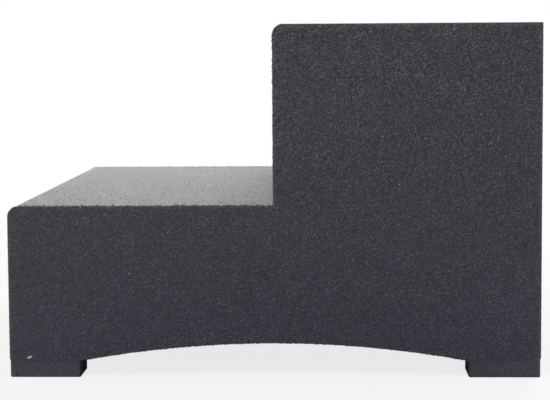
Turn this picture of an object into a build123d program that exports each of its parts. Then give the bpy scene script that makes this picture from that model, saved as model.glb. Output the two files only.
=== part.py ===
from build123d import *

import os
from math import sqrt

# Trailer entry step: a block of foam cut to the shape of two treads, standing on four glued feet,
# with a tough coat sprayed over everything.
#
# Frame, in millimetres: X runs from the low front (-X) to the high back (+X), Y across the step and
# Z up. The origin is on the floor, under the middle of the step. Left and right are those of someone
# who climbs it, so left is +Y.

# Finished sizes of the step
overall_length = 609.6
overall_width = 609.6
overall_height = 404.0
lower_tread_height = 198.0
lower_tread_run = 304.8

# Rounding of the finished coat
nose_radius = 10.0
cove_radius = 2.5
back_corner_radius = 2.0
base_corner_radius = 4.0
side_edge_radius = 1.5

# Thickness of the sprayed coat
coat = 2.0

# Feet, with their coat, and how far they stand in from the faces above them
foot_length = 81.7
foot_depth = 48.0
foot_height = 19.05
foot_corner_radius = 2.5
foot_sole_radius = 1.5
foot_setback = 0.5

# Underside: an arch that springs from the inner sides of the feet
arch_radius = 1219.2
arch_half_span = overall_length / 2 - foot_setback - foot_length
arch_centre_height = foot_height - sqrt(arch_radius**2 - arch_half_span**2)

# Foam inside a foot
foot_block_length = foot_length - 2 * coat
foot_block_depth = foot_depth - 2 * coat

# Middle of each foot
foot_centre_x = overall_length / 2 - foot_setback - foot_length / 2
foot_centre_y = overall_width / 2 - foot_setback - foot_depth / 2
foot_centres = {
    "front_left": (-foot_centre_x, foot_centre_y),
    "front_right": (-foot_centre_x, -foot_centre_y),
    "back_left": (foot_centre_x, foot_centre_y),
    "back_right": (foot_centre_x, -foot_centre_y),
}


def step_profile(inset, nose, cove, back_corner, base_corner):
    # Side outline of the step, drawn the given distance inside the finished faces
    front = -overall_length / 2 + inset
    back = overall_length / 2 - inset
    riser = -overall_length / 2 + lower_tread_run + inset
    low_tread = lower_tread_height - inset
    high_tread = overall_height - inset
    underside = foot_height + inset
    radius = arch_radius + inset
    spring = sqrt(radius**2 - (underside - arch_centre_height) ** 2)
    crown = arch_centre_height + radius
    with BuildSketch(Plane.XZ) as profile:
        with BuildLine():
            FilletPolyline(
                (spring, underside),
                (back, underside),
                (back, high_tread),
                (riser, high_tread),
                (riser, low_tread),
                (front, low_tread),
                (front, underside),
                (-spring, underside),
                radius=(base_corner, back_corner, nose, cove, nose, base_corner),
            )
            ThreePointArc((-spring, underside), (0, crown), (spring, underside))
        make_face()
    return profile.sketch


finished_profile = step_profile(0, nose_radius, cove_radius, back_corner_radius, base_corner_radius)
# The hot wire rounds the noses of the foam and leaves its other corners sharp
foam_profile = step_profile(coat, nose_radius - coat, 0, 0, 0)

os.makedirs("parts", exist_ok=True)

# Foam core: one profile cut through the whole width of a block
with BuildPart() as foam_core:
    extrude(foam_profile, amount=overall_width / 2 - coat, both=True)

foam_core.part.label = "foam_core"
export_step(foam_core.part, "parts/foam_core.step")

# Coat of the step: a skin that follows the core all round. It rounds off the edges of the side faces,
# builds up in the corner behind the lower tread, and fills the rounded edges over each foot, so that
# the feet meet it flush. It leaves a window under each corner of the core, where the foot's foam is
# glued straight to the core's foam.
with BuildPart() as step_coat:
    extrude(finished_profile, amount=overall_width / 2, both=True)
    sides = step_coat.faces().sort_by(Axis.Y)
    fillet(sides[0].edges() + sides[-1].edges(), radius=side_edge_radius)
    with BuildSketch(Plane.XY.offset(foot_height)):
        with Locations(*foot_centres.values()):
            RectangleRounded(foot_length, foot_depth, foot_corner_radius)
    extrude(amount=base_corner_radius)
    extrude(foam_profile, amount=overall_width / 2 - coat, both=True, mode=Mode.SUBTRACT)
    with BuildSketch(Plane.XY.offset(foot_height)):
        with Locations(*foot_centres.values()):
            Rectangle(foot_block_length, foot_block_depth)
    extrude(amount=coat, mode=Mode.SUBTRACT)

step_coat.part.label = "step_coat"
export_step(step_coat.part, "parts/step_coat.step")


def make_foot_block(name, centre):
    # Foam of a foot, from the sole's coat up through the window to the core
    with BuildPart() as block:
        with BuildSketch(Plane.XY.offset(coat)):
            with Locations(centre):
                Rectangle(foot_block_length, foot_block_depth)
        extrude(amount=foot_height)
    block.part.label = name
    export_step(block.part, f"parts/{name}.step")


def make_foot_coat(name, centre):
    # Coat of a foot: an open cup round the foam, rounded at its corners and round its sole
    with BuildPart() as cup:
        with BuildSketch():
            with Locations(centre):
                RectangleRounded(foot_length, foot_depth, foot_corner_radius)
        extrude(amount=foot_height)
        fillet(cup.faces().sort_by(Axis.Z)[0].edges(), radius=foot_sole_radius)
        with BuildSketch(Plane.XY.offset(coat)):
            with Locations(centre):
                Rectangle(foot_block_length, foot_block_depth)
        extrude(amount=foot_height - coat, mode=Mode.SUBTRACT)
    cup.part.label = name
    export_step(cup.part, f"parts/{name}.step")


for corner, foot_centre in foot_centres.items():
    make_foot_block(f"{corner}_foot_block", foot_centre)
    make_foot_coat(f"{corner}_foot_coat", foot_centre)
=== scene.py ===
import math
import random

import bmesh
import bpy
from mathutils import Matrix, Vector


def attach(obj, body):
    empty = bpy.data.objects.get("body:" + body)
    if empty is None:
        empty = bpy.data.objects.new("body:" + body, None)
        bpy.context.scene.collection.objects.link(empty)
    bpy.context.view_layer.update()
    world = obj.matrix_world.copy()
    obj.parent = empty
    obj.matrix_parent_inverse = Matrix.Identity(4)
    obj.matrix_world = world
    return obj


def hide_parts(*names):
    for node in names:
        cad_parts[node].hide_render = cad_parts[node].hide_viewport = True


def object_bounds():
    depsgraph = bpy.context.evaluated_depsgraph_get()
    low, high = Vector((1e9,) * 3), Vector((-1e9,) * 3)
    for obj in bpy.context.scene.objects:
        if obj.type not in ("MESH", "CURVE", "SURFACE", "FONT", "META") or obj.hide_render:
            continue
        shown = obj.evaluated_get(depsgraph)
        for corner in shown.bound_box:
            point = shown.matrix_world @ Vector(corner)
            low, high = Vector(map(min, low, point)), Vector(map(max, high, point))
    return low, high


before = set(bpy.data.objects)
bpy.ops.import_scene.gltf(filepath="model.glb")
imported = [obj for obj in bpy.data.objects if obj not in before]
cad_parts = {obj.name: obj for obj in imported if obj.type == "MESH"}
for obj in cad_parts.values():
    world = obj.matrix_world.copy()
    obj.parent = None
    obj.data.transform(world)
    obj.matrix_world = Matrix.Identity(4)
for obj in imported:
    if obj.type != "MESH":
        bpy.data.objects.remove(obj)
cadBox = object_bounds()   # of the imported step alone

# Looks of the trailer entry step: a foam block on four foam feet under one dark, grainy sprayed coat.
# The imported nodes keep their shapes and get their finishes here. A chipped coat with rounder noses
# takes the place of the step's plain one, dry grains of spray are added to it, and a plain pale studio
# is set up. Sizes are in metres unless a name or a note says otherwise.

stepLow, stepHigh = cadBox
mm = 0.001
lowTread = 0.198   # height of the lower tread


# Helpers

def addObject(name, data):
    thing = bpy.data.objects.new(name, data)
    bpy.context.scene.collection.objects.link(thing)
    return thing


def addNode(tree, kind, inputs=(), **settings):
    # inputs is a dictionary of socket name or number to a value or to another node's socket
    node = tree.nodes.new(kind)
    for name, value in settings.items():
        setattr(node, name, value)
    for name, value in dict(inputs).items():
        if isinstance(value, bpy.types.NodeSocket):
            tree.links.new(value, node.inputs[name])
        else:
            node.inputs[name].default_value = value
    return node


def newMaterial(name):
    material = bpy.data.materials.new(name)
    material.use_nodes = True
    tree = material.node_tree
    tree.nodes.clear()
    output = addNode(tree, "ShaderNodeOutputMaterial")
    shader = addNode(tree, "ShaderNodeBsdfPrincipled")
    tree.links.new(shader.outputs["BSDF"], output.inputs["Surface"])
    return material, tree, shader


def maths(tree, operation, first, second=0.0, third=0.0, clamp=False):
    node = addNode(tree, "ShaderNodeMath", {0: first, 1: second, 2: third}, operation=operation)
    node.use_clamp = clamp
    return node.outputs[0]


def mixColour(tree, amount, first, second, blend="MIX"):
    # The node's sockets are found by identifier, because several share a name
    node = addNode(tree, "ShaderNodeMix", data_type="RGBA", blend_type=blend)
    for name, value in (("Factor_Float", amount), ("A_Color", first), ("B_Color", second)):
        socket = next(s for s in node.inputs if s.identifier == name)
        if isinstance(value, bpy.types.NodeSocket):
            tree.links.new(value, socket)
        else:
            socket.default_value = value if name == "Factor_Float" else (*value, 1.0)
    return next(s for s in node.outputs if s.identifier == "Result_Color")


def shadeBy(tree, colour, share):
    # The colour made paler or darker by a number that varies over the surface
    tint = addNode(tree, "ShaderNodeCombineColor", {0: share, 1: share, 2: share}).outputs[0]
    return mixColour(tree, 1.0, colour, tint, "MULTIPLY")


def remap(tree, value, low, high, newLow, newHigh, curve="LINEAR"):
    inputs = {"Value": value, "From Min": low, "From Max": high, "To Min": newLow, "To Max": newHigh}
    return addNode(tree, "ShaderNodeMapRange", inputs, interpolation_type=curve).outputs[0]


# Sprayed coat: fine round pebbles, with orange peel and the slow waves of a sprayed film under them

coatLook = {
    "topColour": (0.0346, 0.0400, 0.0630),
    # colour of the pits: partly the coat's own darker tone, partly painted shade
    "shadedPitColour": (0.0042, 0.0048, 0.0078),
    "pebbleTone": 0.60,       # how much a pebble's height counts in the colour
    "grainTone": 0.55,        # how much the finer grain counts in it
    "toneLow": 0.47,          # below this sum the colour is all pit
    "toneHigh": 0.66,         # above it the colour is all top
    "pebbleMm": 1.1,
    "pebbleSlope": (0.1, 0.8),   # from a pebble's flat top to its foot, as distances from its middle
    "grainMm": 0.8,
    "peelMm": 3.2,
    "waveMm": 70.0,
    "pebbleHeightMm": 0.35,   # this height and the next three are for the bump
    "grainHeightMm": 0.12,
    "peelHeightMm": 0.6,
    "waveHeightMm": 0.5,
    "lowShadeContrast": 0.56,        # how much of the tone's contrast, painted shade in the pits included, is left at floor level, where the light falls less aslant
    "dryAndHighlightColour": (0.250, 0.262, 0.285),   # spray that dried before it landed is paler and greyer; the painted edge highlight takes this colour too
    "dryShare": 0.20,         # share of the pebbles that did, more or less
    "dryness": 1.0,           # how far the driest tops turn to the dry colour
    "edgeHighlight": 0.35,       # painted highlight along the edges of the two sides, as a share of the way to that colour
    "edgeHighlightWidth": 0.006,
    "edgeHighlightFull": 0.0005,        # this near to the side faces the painted highlight is at its full strength
    "edgeHighlightSpeckMm": 2.6,
    "edgeHighlightSpeckRange": (0.47, 0.64),        # noise from the gaps to the specks
    "edgeHighlightSpeckLeast": 0.15,    # how much of the painted highlight is left in the gaps
    "floorBounce": 0.20,             # painted light bounced off the floor: how much paler the coat gets down to it
    "floorBounceRise": 0.15,         # how high that reaches
    "footBounceTint": (1.52, 1.43, 1.24),       # the feet painted a little paler all over, as by light bounced off the floor
    "footShadeContrast": 0.65,        # and have this share of the contrast, so a weaker painted shade in the pits
    "footFade": (0.012, 0.024),           # heights between which that ends
    "innerX": 0.2226,         # where the inner sides of the feet are, which get painted shade as they stand in shadow under the step
    "innerY": 0.2563,
    "innerTop": 0.019,
    "innerFade": (0.0006, 0.0020),        # how far into the foot that begins to fade, and is gone
    # how dark the painted shade makes the inner sides of the feet
    "innerShade": 0.35,
    "innerRoughness": 0.95,
    "roughness": 0.30,
    "shinyShare": 0.10,       # share of the pebbles that came out smooth
    "shinyRoughness": 0.12,
    "grazingRoughness": 0.39,   # along the surface the pebbles merge into one dull film
    "grazingRange": (0.45, 0.85),         # where that begins and is complete: 1 is edge on
    "skimRoughness": 0.34,    # the same where the eye all but skims over it
    "skimRange": (0.90, 0.93),
    "dullMm": 2.4,
    "dullness": 0.50,         # how much the film's gloss varies from one spot to the next
    "blotch": 0.05,           # how much the film's tone varies in soft patches
    "blotchMm": 45.0,
    "blotchRange": (0.3, 0.7),
    "ior": 1.5,
    "specular": 0.5,
}


# Marks on the near side, each placed by its x and z
markLook = {
    "skinDepth": 0.002,       # how far in from the side face they reach
    "scuffPlace": (0.0856, 0.0644),
    "scuffSize": (0.0060, 0.0105),        # from its middle to its rim, along x and z
    "scuffFade": (0.3, 1.3),  # full inside the first share of that size, gone at the second
    "scuffColour": (0.30, 0.30, 0.22),
    "scuffStrength": 0.022,
    "fleckPlaces": [
        (0.1245, 0.2763), (0.2359, 0.3007), (0.2551, 0.2735),
        (0.2053, 0.3974), (0.1437, 0.2218), (-0.1648, 0.1206),
    ],
    "fleckSize": (0.0009, 0.0009),
    "fleckFade": (0.6, 1.0),
    "fleckColour": (0.42, 0.42, 0.44),
}


def markMasks(tree, place):
    # One mask for the soft scuff and one for the pale flecks, both only on the near side
    look = markLook
    axes = addNode(tree, "ShaderNodeSeparateXYZ", {0: place}).outputs
    nearSide = maths(tree, "LESS_THAN", axes["Y"], stepLow[1] + look["skinDepth"])

    def distanceTo(centre, size):
        # 1 at the rim of an ellipse with the given half sizes
        across = maths(tree, "DIVIDE", maths(tree, "SUBTRACT", axes["X"], centre[0]), size[0])
        along = maths(tree, "DIVIDE", maths(tree, "SUBTRACT", axes["Z"], centre[1]), size[1])
        across = maths(tree, "MULTIPLY", across, across)
        along = maths(tree, "MULTIPLY", along, along)
        return maths(tree, "POWER", maths(tree, "ADD", across, along), 0.5)

    reach = distanceTo(look["scuffPlace"], look["scuffSize"])
    scuff = remap(tree, reach, *look["scuffFade"], 1.0, 0.0)
    flecks = 0.0
    for centre in look["fleckPlaces"]:
        reach = distanceTo(centre, look["fleckSize"])
        flecks = maths(tree, "MAXIMUM", flecks, remap(tree, reach, *look["fleckFade"], 1.0, 0.0))
    return maths(tree, "MULTIPLY", scuff, nearSide), maths(tree, "MULTIPLY", flecks, nearSide)


def edgeHighlightMask(tree, place):
    # 1 on the outline of the two side faces, falling to 0 a few millimetres inside it: where the
    # painted edge highlight goes
    look = coatLook
    axes = addNode(tree, "ShaderNodeSeparateXYZ", {0: place}).outputs
    toBack = maths(tree, "SUBTRACT", stepHigh[0], axes["X"])
    toFront = maths(tree, "SUBTRACT", axes["X"], stepLow[0])
    toTop = maths(tree, "SUBTRACT", stepHigh[2], axes["Z"])
    toLowTread = maths(tree, "SUBTRACT", lowTread, axes["Z"])
    lowBlock = maths(tree, "MINIMUM", toLowTread, maths(tree, "MINIMUM", toFront, toBack))
    highBlock = maths(tree, "MINIMUM", toTop, maths(tree, "MINIMUM", axes["X"], toBack))
    inside = maths(tree, "MAXIMUM", lowBlock, highBlock)
    rim = remap(tree, inside, 0.0, look["edgeHighlightWidth"], 1.0, 0.0)
    sideways = maths(tree, "ABSOLUTE", axes["Y"])
    start, full = stepHigh[1] - look["edgeHighlightWidth"], stepHigh[1] - look["edgeHighlightFull"]
    outer = remap(tree, sideways, start, full, 0.0, 1.0)
    return maths(tree, "MULTIPLY", maths(tree, "MULTIPLY", rim, rim), outer)


def innerShadeMask(tree, place):
    # 1 on the sides of the feet that face the middle of the step, which get painted shade
    look = coatLook
    axes = addNode(tree, "ShaderNodeSeparateXYZ", {0: place}).outputs
    lengthways, sideways = maths(tree, "ABSOLUTE", axes["X"]), maths(tree, "ABSOLUTE", axes["Y"])
    full, gone = look["innerFade"]
    inX = remap(tree, lengthways, look["innerX"] + full, look["innerX"] + gone, 1.0, 0.0)
    inY = remap(tree, sideways, look["innerY"] + full, look["innerY"] + gone, 1.0, 0.0)
    low = maths(tree, "LESS_THAN", axes["Z"], look["innerTop"])
    return maths(tree, "MULTIPLY", maths(tree, "MAXIMUM", inX, inY), low)


def makeCoatMaterial(name, dryness=0.0):
    # dryness is how far all of it has turned to the dry colour
    look = coatLook
    material, tree, shader = newMaterial(name)
    place = addNode(tree, "ShaderNodeTexCoord").outputs["Object"]

    def noiseAt(sizeMm, detail=1.0):
        inputs = {"Vector": place, "Scale": 1.0 / (sizeMm * mm), "Detail": detail}
        return addNode(tree, "ShaderNodeTexNoise", inputs).outputs["Fac"]

    pebbleScale = 1.0 / (look["pebbleMm"] * mm)
    cells = addNode(
        tree, "ShaderNodeTexVoronoi", {"Vector": place, "Scale": pebbleScale}, feature="F1"
    ).outputs
    pebble = remap(tree, cells["Distance"], *look["pebbleSlope"], 1.0, 0.0)
    lot = addNode(tree, "ShaderNodeSeparateColor", {0: cells["Color"]}).outputs[0]   # one a pebble
    grain = noiseAt(look["grainMm"])
    peel = noiseAt(look["peelMm"], 2.0)
    wave = noiseAt(look["waveMm"])

    # Height in millimetres, as one field for the bump
    height = maths(tree, "MULTIPLY", pebble, look["pebbleHeightMm"])
    height = maths(tree, "MULTIPLY_ADD", grain, look["grainHeightMm"], height)
    height = maths(tree, "MULTIPLY_ADD", peel, look["peelHeightMm"], height)
    height = maths(tree, "MULTIPLY_ADD", wave, look["waveHeightMm"], height)
    bump = addNode(tree, "ShaderNodeBump", {"Height": height, "Distance": mm, "Strength": 1.0})
    tree.links.new(bump.outputs["Normal"], shader.inputs["Normal"])

    # Colour: pale on the tops of the pebbles and dark in the pits, partly the coat's own mottled tone
    # and partly painted shade in the pits, which is weaker lower down, where the light falls less
    # aslant
    tops = maths(tree, "MULTIPLY", pebble, look["pebbleTone"])
    tops = maths(tree, "MULTIPLY_ADD", grain, look["grainTone"], tops)
    tops = remap(tree, tops, look["toneLow"], look["toneHigh"], 0.0, 1.0)
    level = addNode(tree, "ShaderNodeSeparateXYZ", {0: place}).outputs["Z"]
    aboveFeet = remap(tree, level, *look["footFade"], 0.0, 1.0)
    contrast = remap(tree, level, 0.0, stepHigh[2], look["lowShadeContrast"], 1.0)
    feetContrast = remap(tree, aboveFeet, 0.0, 1.0, look["footShadeContrast"], 1.0)
    contrast = maths(tree, "MULTIPLY", contrast, feetContrast)
    tops = maths(tree, "MULTIPLY_ADD", maths(tree, "SUBTRACT", tops, 0.5), contrast, 0.5)
    colour = mixColour(tree, tops, look["shadedPitColour"], look["topColour"])

    # Soft patches of thicker film, and painted bounce light from the floor, which pales the coat
    # towards it and the feet all over
    patches = noiseAt(look["blotchMm"], 3.0)
    patches = remap(tree, patches, *look["blotchRange"], 1.0 - look["blotch"], 1.0 + look["blotch"])
    floorBounceLight = remap(tree, level, 0.0, look["floorBounceRise"], 1.0 + look["floorBounce"], 1.0)
    colour = shadeBy(tree, colour, maths(tree, "MULTIPLY", patches, floorBounceLight))
    footBounceTint = mixColour(tree, aboveFeet, look["footBounceTint"], (1.0, 1.0, 1.0))
    colour = mixColour(tree, 1.0, colour, footBounceTint, "MULTIPLY")

    # Dry spray on some of the pebbles, and a painted highlight in specks along the edges of the sides
    dryAndHighlight = maths(tree, "MULTIPLY", remap(tree, lot, 1.0 - look["dryShare"], 1.0, 0.0, 1.0), pebble)
    dryAndHighlight = maths(tree, "MULTIPLY", maths(tree, "MULTIPLY", dryAndHighlight, contrast), look["dryness"])
    specks = noiseAt(look["edgeHighlightSpeckMm"])
    specks = remap(tree, specks, *look["edgeHighlightSpeckRange"], look["edgeHighlightSpeckLeast"], 1.0)
    rim = maths(tree, "MULTIPLY", edgeHighlightMask(tree, place), specks)
    dryAndHighlight = maths(tree, "MAXIMUM", dryAndHighlight, maths(tree, "MULTIPLY", rim, look["edgeHighlight"]))
    colour = mixColour(tree, maths(tree, "ADD", dryAndHighlight, dryness, clamp=True), colour, look["dryAndHighlightColour"])

    # Marks, and painted shade on the inner sides of the feet, which stand in shadow under the step
    scuff, flecks = markMasks(tree, place)
    scuff = maths(tree, "MULTIPLY", scuff, markLook["scuffStrength"])
    colour = mixColour(tree, scuff, colour, markLook["scuffColour"])
    colour = mixColour(tree, flecks, colour, markLook["fleckColour"])
    inner = innerShadeMask(tree, place)
    colour = shadeBy(tree, colour, remap(tree, inner, 0.0, 1.0, 1.0, look["innerShade"]))
    tree.links.new(colour, shader.inputs["Base Color"])

    # Gloss: a few smooth pebbles, a duller film along the surface, and spots that vary
    shiny = maths(tree, "LESS_THAN", lot, look["shinyShare"])
    roughness = remap(tree, shiny, 0.0, 1.0, look["roughness"], look["shinyRoughness"])
    facing = addNode(tree, "ShaderNodeLayerWeight", {"Blend": 0.5}).outputs["Facing"]
    grazing = remap(tree, facing, *look["grazingRange"], 0.0, 1.0)
    film = remap(tree, facing, *look["skimRange"], look["grazingRoughness"], look["skimRoughness"])
    roughness = addNode(
        tree, "ShaderNodeMix", {0: grazing, 2: roughness, 3: film}, data_type="FLOAT"
    ).outputs[0]
    uneven = maths(tree, "SUBTRACT", noiseAt(look["dullMm"]), 0.5)
    uneven = maths(tree, "MULTIPLY", uneven, look["dullness"])
    roughness = maths(tree, "ADD", roughness, uneven, clamp=True)
    dull = maths(tree, "MULTIPLY", inner, look["innerRoughness"])
    roughness = maths(tree, "MAXIMUM", roughness, dull)
    tree.links.new(roughness, shader.inputs["Roughness"])
    shader.inputs["IOR"].default_value = look["ior"]
    shader.inputs["Specular IOR Level"].default_value = look["specular"]
    return material


# Bead foam: pale beads pressed together, with dull grooves between them

foamLook = {
    "beadColour": (0.86, 0.86, 0.84),
    "grooveColour": (0.62, 0.62, 0.60),
    "beadMm": 3.6,
    "grooveReach": 0.22,      # how far in from its edge a bead is still rising
    "beadHeightMm": 0.35,
    "roughness": 0.85,
}


def makeFoamMaterial():
    look = foamLook
    material, tree, shader = newMaterial("whiteBeadFoam")
    place = addNode(tree, "ShaderNodeTexCoord").outputs["Object"]
    scale = 1.0 / (look["beadMm"] * mm)
    beads = addNode(
        tree, "ShaderNodeTexVoronoi", {"Vector": place, "Scale": scale}, feature="DISTANCE_TO_EDGE"
    )
    dome = remap(tree, beads.outputs["Distance"], 0.0, look["grooveReach"], 0.0, 1.0)
    colour = mixColour(tree, dome, look["grooveColour"], look["beadColour"])
    tree.links.new(colour, shader.inputs["Base Color"])
    height = maths(tree, "MULTIPLY", dome, look["beadHeightMm"])
    bump = addNode(tree, "ShaderNodeBump", {"Height": height, "Distance": mm})
    tree.links.new(bump.outputs["Normal"], shader.inputs["Normal"])
    shader.inputs["Roughness"].default_value = look["roughness"]
    return material


coatMaterial = makeCoatMaterial("sprayedCoat")
foamMaterial = makeFoamMaterial()

for nodeName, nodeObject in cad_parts.items():
    isFoam = nodeName.endswith("block") or nodeName == "foam_core"
    for materialSlot in nodeObject.material_slots:
        materialSlot.material = foamMaterial if isFoam else coatMaterial
print("finishes set on", len(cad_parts), "packed nodes")


# The step's coat again as a piece of its own, because a chip near the low front shows the foam

chipLook = {
    "place": (-0.2817, 0.0233),   # x and z of its middle, on the near side
    "length": 0.0066,
    "width": 0.0025,
    "slant": 24.0,                # degrees, rising towards the back
    "flare": 1.12,                # how much wider the chip is at the surface than at the foam
    "coat": 0.002,                # thickness of the coat that came off
    "cutOutside": 0.001,          # how far the cut begins outside the surface
    "cutDepth": 1.02,             # how deep it goes, as a share of the coat
    "foamDepth": 0.0003,          # how far the foam's torn face lies under the surface
    "foamDome": ((0.0, 0.35), (0.0001, 0.7), (0.0003, 1.0)),   # its fall, and its width there
    "foamShoulder": 0.0006,       # its fall where it meets the coat
    "foamRoot": 0.0005,           # how far it goes on behind the coat
    "foamRoughness": 0.00015,
    "corners": 15,
    "ragged": (0.78, 1.12),       # how far in and out the rim wanders
    "seed": 5,
}


def addPiece(name, shape):
    # Turns a bmesh into an object of its own
    mesh = bpy.data.meshes.new(name)
    shape.to_mesh(mesh)
    shape.free()
    return addObject(name, mesh)


def chipRim():
    # Ragged outline of the chip as (x, z) offsets from its middle
    look = chipLook
    dice = random.Random(look["seed"])
    slant = math.radians(look["slant"])
    rim = []
    for corner in range(look["corners"]):
        turn = 2 * math.pi * corner / look["corners"]
        reach = dice.uniform(*look["ragged"])
        along = math.cos(turn) * look["length"] / 2 * reach
        up = math.sin(turn) * look["width"] / 2 * reach
        x = along * math.cos(slant) - up * math.sin(slant)
        z = along * math.sin(slant) + up * math.cos(slant)
        rim.append((x, z))
    return rim


def makePlug(name, sections):
    # Closed plug through sections of (depth, scale, roughness), from the outside in
    look = chipLook
    dice = random.Random(look["seed"])
    plug = bmesh.new()
    rim = chipRim()
    rings = []
    for depth, scale, rough in sections:
        rings.append([
            plug.verts.new((
                look["place"][0] + x * scale,
                stepLow[1] + depth + dice.uniform(-rough, rough),
                look["place"][1] + z * scale,
            ))
            for x, z in rim
        ])
    for outer, inner in zip(rings, rings[1:]):
        for i in range(len(rim)):
            j = (i + 1) % len(rim)
            plug.faces.new((outer[i], outer[j], inner[j], inner[i]))
    plug.faces.new(rings[0])
    plug.faces.new(rings[-1])
    bmesh.ops.triangulate(plug, faces=plug.faces)
    bmesh.ops.recalc_face_normals(plug, faces=plug.faces)
    return addPiece(name, plug)


def makeChipFoam():
    # The foam bulges into the chip and shows a torn, slightly domed face
    look = chipLook
    depth = look["foamDepth"]
    sections = [(depth + fall, share, look["foamRoughness"]) for fall, share in look["foamDome"]]
    sections.append((depth + look["foamShoulder"], look["flare"], 0.0))
    sections.append((look["coat"] + look["foamRoot"], 1.0, 0.0))
    piece = makePlug("chipFoam", sections)
    piece.data.materials.append(foamMaterial)
    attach(piece, "root")


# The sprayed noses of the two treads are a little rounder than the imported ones

noseLook = {
    "packedRadius": 0.010,
    "radius": 0.0127,
    "edgeRadius": 0.0015,   # rounding of the side edges, which the noses run into
    "skinReach": 0.0082,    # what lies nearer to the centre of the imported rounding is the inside
    "shortStep": 0.0008,    # edges that are shorter than this from the side stay whole
    "cuts": 3,              # new points in each of the others
}


def nosePoints(shape, cornerX, cornerZ):
    # Points on the outside of one nose, each with how far it stands forward of and above the centre
    packed, nearly = noseLook["packedRadius"], 0.00001
    found = {}
    for vert in shape.verts:
        forward = cornerX + packed - vert.co.x
        up = vert.co.z - (cornerZ - packed)
        reach = math.hypot(forward, up)
        if min(forward, up) > -nearly and noseLook["skinReach"] < reach < packed + nearly:
            found[vert] = (forward, up)
    return found


def roundNoses(shape):
    # Finer steps round each nose, each moved to the same angle on the larger rounding
    look = noseLook
    flatHalf = stepHigh[1] - look["edgeRadius"]
    for cornerX, cornerZ in ((stepLow[0], lowTread), (0.0, stepHigh[2])):
        found = nosePoints(shape, cornerX, cornerZ)
        turning = [
            edge for edge in shape.edges
            if all(vert in found for vert in edge.verts)
            and math.dist(found[edge.verts[0]], found[edge.verts[1]]) > look["shortStep"]
        ]
        bmesh.ops.subdivide_edges(shape, edges=turning, cuts=look["cuts"], use_grid_fill=True)
        for vert, (forward, up) in nosePoints(shape, cornerX, cornerZ).items():
            overEdge = max(0.0, abs(vert.co.y) - flatHalf)
            drop = look["edgeRadius"] - math.sqrt(max(0.0, look["edgeRadius"] ** 2 - overEdge ** 2))
            stretch = (look["radius"] - drop) / math.hypot(forward, up)
            vert.co.x = cornerX + look["radius"] - forward * stretch
            vert.co.z = cornerZ - look["radius"] + up * stretch


coatLimits = {
    "weldReach": 0.000001,
    "flatAngle": 0.2,       # degrees: faces that turn less than this become one
    "sharpAngle": 30.0,     # degrees: edges that turn more than this stay sharp
}


def copyCoat(pieceName):
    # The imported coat's mesh again, with its triangles joined into whole faces and its noses rounder
    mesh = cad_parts["step_coat"].data.copy()
    flatAngle = math.radians(coatLimits["flatAngle"])
    whole = bmesh.new()
    whole.from_mesh(mesh)
    bmesh.ops.remove_doubles(whole, verts=whole.verts, dist=coatLimits["weldReach"])
    bmesh.ops.dissolve_limit(whole, angle_limit=flatAngle, verts=whole.verts, edges=whole.edges)
    roundNoses(whole)
    whole.to_mesh(mesh)
    whole.free()
    mesh.name = pieceName
    return addObject(pieceName, mesh)


def applyModifiers(piece):
    evaluated = piece.evaluated_get(bpy.context.evaluated_depsgraph_get())
    mesh = bpy.data.meshes.new_from_object(evaluated)
    piece.modifiers.clear()
    piece.data = mesh


def makeChippedCoat():
    look = chipLook
    piece = copyCoat("chippedCoat")
    plug = makePlug("chipCutter", [
        (-look["cutOutside"], look["flare"], 0.0),
        (0.0, look["flare"], 0.0),
        (look["coat"] * look["cutDepth"], 1.0, 0.0),
    ])
    cut = piece.modifiers.new("chip", "BOOLEAN")
    cut.operation = "DIFFERENCE"
    cut.solver = "EXACT"
    cut.object = plug
    applyModifiers(piece)
    bpy.data.objects.remove(plug)
    piece.data.materials.clear()
    piece.data.materials.append(coatMaterial)
    for face in piece.data.polygons:
        face.use_smooth = True
    piece.data.set_sharp_from_angle(angle=math.radians(coatLimits["sharpAngle"]))
    even = piece.modifiers.new("evenNormals", "WEIGHTED_NORMAL")
    even.keep_sharp = True
    applyModifiers(piece)
    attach(piece, "root")
    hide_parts("step_coat")
    return piece


# Dry grains of spray: beads along the edges of the two sides, where it builds up, and loose grains
# on the lower tread

grainLook = {
    "lumps": (0.82, 1.1),       # how far each corner of a grain is pushed in or out
    "boxMargin": 0.00002,       # how far inside the finished box every grain ends
    "flatness": 0.00002,        # what stands off a side face by less than this is part of it
    "edgeSpacing": 0.0013,
    "edgeSpread": (0.4, 1.6),   # how unevenly the beads are spaced
    "edgeWidth": (0.0010, 0.0021),
    "edgeHeight": (0.0003, 0.0009),
    "edgeLean": (18.0, 75.0),   # degrees from the side face, where round the edge they sit
    "edgeDryness": 0.12,        # how far their colour has turned to the dry one
    "farShare": 0.5,            # how high the beads on the far side are beside the near ones
    "noseTurn": 0.05,           # an edge that faces forward and up by more than this is on a nose
    "noseShare": 0.4,           # how high the beads are there
    "levelEdge": 0.7,           # an edge that faces up by more than this bounds a tread
    "treadShare": 1.5,          # how high the beads are on the near edge of the lower one
    "treadLean": (45.0, 88.0),  # and where they sit
    "tallChance": 0.40,         # how many of these grew into taller pebbles
    "tallShare": 1.9,
    "treadCount": 6000,         # loose grains on the lower tread
    "treadWidth": (0.0008, 0.0015),
    "treadOval": 0.8,
    "treadHeight": (0.0001, 0.00045),
    "treadFade": 0.75,          # how much lower they get towards the far side
    "treadFront": 0.001,        # how far they keep from the nose
    "treadBack": 0.003,         # from the riser
    "treadSide": 0.002,         # and from the side faces
    "seed": 8,
}


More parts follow.
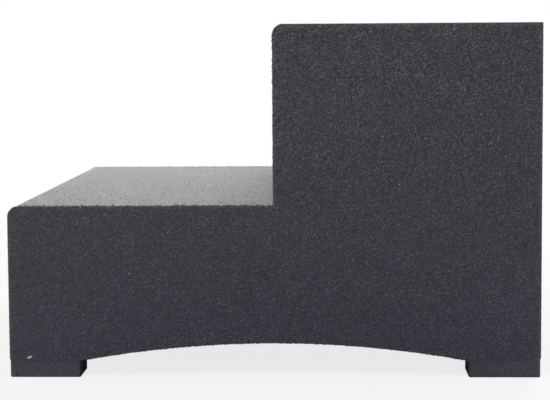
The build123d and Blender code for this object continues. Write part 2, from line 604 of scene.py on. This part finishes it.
def sideOutline(coat, side):
    # Corners of the flat side face, in order round its outline
    shape = bmesh.new()
    shape.from_mesh(coat.data)
    plane, flatness = side * stepHigh[1], grainLook["flatness"]
    flat = {f for f in shape.faces if all(abs(v.co.y - plane) < flatness for v in f.verts)}
    following = {}
    for face in flat:
        for loop in face.loops:
            if sum(f in flat for f in loop.edge.link_faces) == 1:
                following[loop.vert] = loop.link_loop_next.vert
    start = min(following, key=lambda vert: vert.co.x + vert.co.z)
    outline, vert = [], start
    while True:
        outline.append(vert.co.copy())
        vert = following[vert]
        if vert is start:
            break
    shape.free()
    return outline


def ballShape():
    ball = bmesh.new()
    bmesh.ops.create_icosphere(ball, subdivisions=1, radius=1.0)
    corners = [v.co.copy() for v in ball.verts]
    sides = [[v.index for v in f.verts] for f in ball.faces]
    ball.free()
    return corners, sides


ballCorners, ballSides = ballShape()


def addGrain(grains, dice, centre, axes, halfSizes):
    # One lumpy ball, half sunk in the coat and never outside the finished box
    margin = grainLook["boxMargin"]
    first = len(grains["points"])
    for corner in ballCorners:
        lump = dice.uniform(*grainLook["lumps"])
        point = centre.copy()
        for axis, size, share in zip(axes, halfSizes, corner):
            point += axis * size * share * lump
        for axis in range(3):
            point[axis] = min(max(point[axis], stepLow[axis] + margin), stepHigh[axis] - margin)
        grains["points"].append(point)
    grains["faces"] += [[first + i for i in side] for side in ballSides]


def finishGrains(name, grains, material):
    mesh = bpy.data.meshes.new(name)
    mesh.from_pydata(grains["points"], [], grains["faces"])
    for face in mesh.polygons:
        face.use_smooth = True
    mesh.materials.append(material)
    piece = addObject(name, mesh)
    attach(piece, "root")
    return piece


def makeEdgeBeads(coat):
    look = grainLook
    dice = random.Random(look["seed"])
    grains = {"points": [], "faces": []}
    for side in (-1, 1):
        outward = Vector((0, side, 0))
        outline = sideOutline(coat, side)
        carry = 0.0
        for a, b in zip(outline, outline[1:] + outline[:1]):
            run = b - a
            along = run.normalized()
            away = along.cross(outward)
            onNose = away.z > look["noseTurn"] and away.x < -look["noseTurn"]
            onTread = side < 0 and away.z > look["levelEdge"] and a.z < lowTread + mm
            while carry < run.length:
                lean = math.radians(dice.uniform(*look["treadLean" if onTread else "edgeLean"]))
                way = outward * math.cos(lean) + away * math.sin(lean)
                centre = a + along * carry + (way - outward) * noseLook["edgeRadius"]
                width = dice.uniform(*look["edgeWidth"]) / 2
                height = dice.uniform(*look["edgeHeight"]) * (1.0 if side < 0 else look["farShare"])
                if onNose:
                    height *= look["noseShare"]
                if onTread:
                    height *= look["treadShare"]
                    height *= look["tallShare"] if dice.random() < look["tallChance"] else 1.0
                addGrain(grains, dice, centre, (along, way.cross(along), way), (width, width, height))
                carry += look["edgeSpacing"] * dice.uniform(*look["edgeSpread"])
            carry -= run.length
    return finishGrains("edgeBeads", grains, makeCoatMaterial("dryBeads", look["edgeDryness"]))


def makeTreadGrains():
    look = grainLook
    dice = random.Random(look["seed"] + 1)
    grains = {"points": [], "faces": []}
    lengthways = (stepLow[0] + noseLook["radius"] + look["treadFront"], -look["treadBack"])
    sideways = (stepLow[1] + look["treadSide"], stepHigh[1] - look["treadSide"])
    for grain in range(look["treadCount"]):
        centre = Vector((dice.uniform(*lengthways), dice.uniform(*sideways), lowTread))
        turn = dice.uniform(0, 2 * math.pi)
        along = Vector((math.cos(turn), math.sin(turn), 0))
        across = Vector((-math.sin(turn), math.cos(turn), 0))
        width = dice.uniform(*look["treadWidth"]) / 2
        farness = (centre.y - stepLow[1]) / (stepHigh[1] - stepLow[1])
        height = dice.uniform(*look["treadHeight"]) * (1.0 - look["treadFade"] * farness)
        halfSizes = (width, width * look["treadOval"], height)
        addGrain(grains, dice, centre, (along, across, Vector((0, 0, 1))), halfSizes)
    return finishGrains("treadGrains", grains, coatMaterial)


chippedCoat = makeChippedCoat()
makeChipFoam()
edgeBeads = makeEdgeBeads(chippedCoat)
treadGrains = makeTreadGrains()
beadFaces, grainFaces = len(edgeBeads.data.polygons), len(treadGrains.data.polygons)
print("coat chipped,", beadFaces, "faces of beads,", grainFaces, "of grains")


# Studio: pale floor, soft lamps and a white surround

floorLook = {
    "size": 12.0,
    "colour": (0.90, 0.90, 0.90),
    "roughness": 0.9,
    "specular": 0.1,
    "cameraGlow": 0.80,   # share of plain white that the camera sees near the step
    "glossGlow": 0.0,     # the same for reflections
    "fadeStart": 0.7,     # beyond this distance the floor melts into the white surround
    "fadeEnd": 2.2,
}


def makeFloor():
    look = floorLook
    bpy.ops.mesh.primitive_plane_add(size=look["size"], location=(0, 0, 0))
    floor = bpy.context.object
    floor.name = "studioFloor"
    material, tree, shader = newMaterial("paleFloor")
    output = next(n for n in tree.nodes if n.type == "OUTPUT_MATERIAL")
    shader.inputs["Base Color"].default_value = (*look["colour"], 1.0)
    shader.inputs["Roughness"].default_value = look["roughness"]
    shader.inputs["Specular IOR Level"].default_value = look["specular"]
    place = addNode(tree, "ShaderNodeTexCoord").outputs["Object"]
    reach = addNode(tree, "ShaderNodeVectorMath", {0: place}, operation="LENGTH").outputs["Value"]
    far = remap(tree, reach, look["fadeStart"], look["fadeEnd"], 0.0, 1.0, "SMOOTHSTEP")
    rays = addNode(tree, "ShaderNodeLightPath").outputs
    seen = remap(tree, far, 0.0, 1.0, look["cameraGlow"], 1.0)
    mirrored = remap(tree, far, 0.0, 1.0, look["glossGlow"], 1.0)
    glossy = maths(tree, "MAXIMUM", rays["Is Glossy Ray"], rays["Is Transmission Ray"])
    share = maths(tree, "MULTIPLY", rays["Is Camera Ray"], seen)
    share = maths(tree, "MULTIPLY_ADD", glossy, mirrored, share, clamp=True)
    glow = addNode(tree, "ShaderNodeEmission", {"Color": (1, 1, 1, 1), "Strength": 1.0})
    mix = addNode(tree, "ShaderNodeMixShader", {0: share, 1: shader.outputs[0], 2: glow.outputs[0]})
    tree.links.new(mix.outputs[0], output.inputs["Surface"])
    floor.data.materials.append(material)


worldLook = {
    "ambient": 0.35,       # soft light from all round
    "glossBack": 1.0,      # white that the coat mirrors from behind the step
    "glossFront": 0.15,    # dimmer room on the camera's side
    "glossTurn": (-0.1, 0.4),   # where the one melts into the other, from front to back
}


def makeWorld():
    look = worldLook
    world = bpy.data.worlds.new("whiteSurround")
    bpy.context.scene.world = world
    world.use_nodes = True
    tree = world.node_tree
    tree.nodes.clear()
    output = addNode(tree, "ShaderNodeOutputWorld")
    rays = addNode(tree, "ShaderNodeLightPath").outputs
    direction = addNode(tree, "ShaderNodeTexCoord").outputs["Generated"]
    axes = addNode(tree, "ShaderNodeSeparateXYZ", {0: direction}).outputs
    room = (look["glossFront"], look["glossBack"])
    mirrored = remap(tree, axes["Y"], *look["glossTurn"], *room, "SMOOTHSTEP")
    glossy = maths(tree, "MAXIMUM", rays["Is Glossy Ray"], rays["Is Transmission Ray"])
    strength = maths(tree, "MULTIPLY", glossy, maths(tree, "SUBTRACT", mirrored, look["ambient"]))
    strength = maths(tree, "ADD", strength, look["ambient"])
    strength = maths(tree, "MAXIMUM", strength, rays["Is Camera Ray"])
    background = addNode(tree, "ShaderNodeBackground", {"Color": (1, 1, 1, 1), "Strength": strength})
    tree.links.new(background.outputs[0], output.inputs["Surface"])


lamps = {
    "keySoftbox": {"size": 0.5, "place": (-1.1, -2.4, 2.6), "aim": (0.0, -0.2, 0.3), "power": 35.5},
    "lowSoftbox": {"size": 0.8, "place": (-1.7, -2.1, 0.25), "aim": (-0.1, -0.3, 0.05), "power": 7.0},
    "fillSoftbox": {"size": 1.6, "place": (1.9, -1.6, 1.1), "aim": (0.0, 0.0, 0.2), "power": 9.0},
    "topSoftbox": {"size": 1.2, "place": (0.7, 1.1, 1.7), "aim": (-0.1, 0.0, 0.2), "power": 22.0},
    "backSoftbox": {"size": 2.0, "place": (-1.0, 2.6, 0.95), "aim": (-0.1, 0.0, 0.2), "power": 10.0},
}


def makeLamps():
    for name, lamp in lamps.items():
        data = bpy.data.lights.new(name, "AREA")
        data.shape = "SQUARE"
        data.size = lamp["size"]
        data.energy = lamp["power"]
        softbox = addObject(name, data)
        softbox.location = lamp["place"]
        softbox.visible_camera = False
        aim = Vector(lamp["aim"]) - Vector(lamp["place"])
        softbox.rotation_euler = aim.to_track_quat("-Z", "Y").to_euler()


# Camera: just below the level of the upper tread, a little to the right of the middle

cameraLook = {
    "place": (0.0608, -2.0311, 0.3707),
    "turnLeft": 1.93,     # degrees from straight ahead, as are the next two
    "tiltDown": 4.44,
    "lean": -0.36,
    "lensMm": 99.88,
    "frameMm": 36.0,      # width of the frame behind that lens
    "shiftY": -0.051,
}


def makeCamera():
    look = cameraLook
    data = bpy.data.cameras.new("photoCamera")
    data.lens = look["lensMm"]
    data.sensor_width = look["frameMm"]
    data.shift_y = look["shiftY"]
    camera = addObject("photoCamera", data)
    turn = Matrix.Rotation(math.radians(look["turnLeft"]), 4, "Z")
    tilt = Matrix.Rotation(math.radians(90.0 - look["tiltDown"]), 4, "X")
    lean = Matrix.Rotation(math.radians(look["lean"]), 4, "Z")
    camera.matrix_world = Matrix.Translation(look["place"]) @ turn @ tilt @ lean
    bpy.context.scene.camera = camera


makeFloor()
makeWorld()
makeLamps()
makeCamera()
bpy.context.scene.view_settings.view_transform = "Standard"
print("studio set")
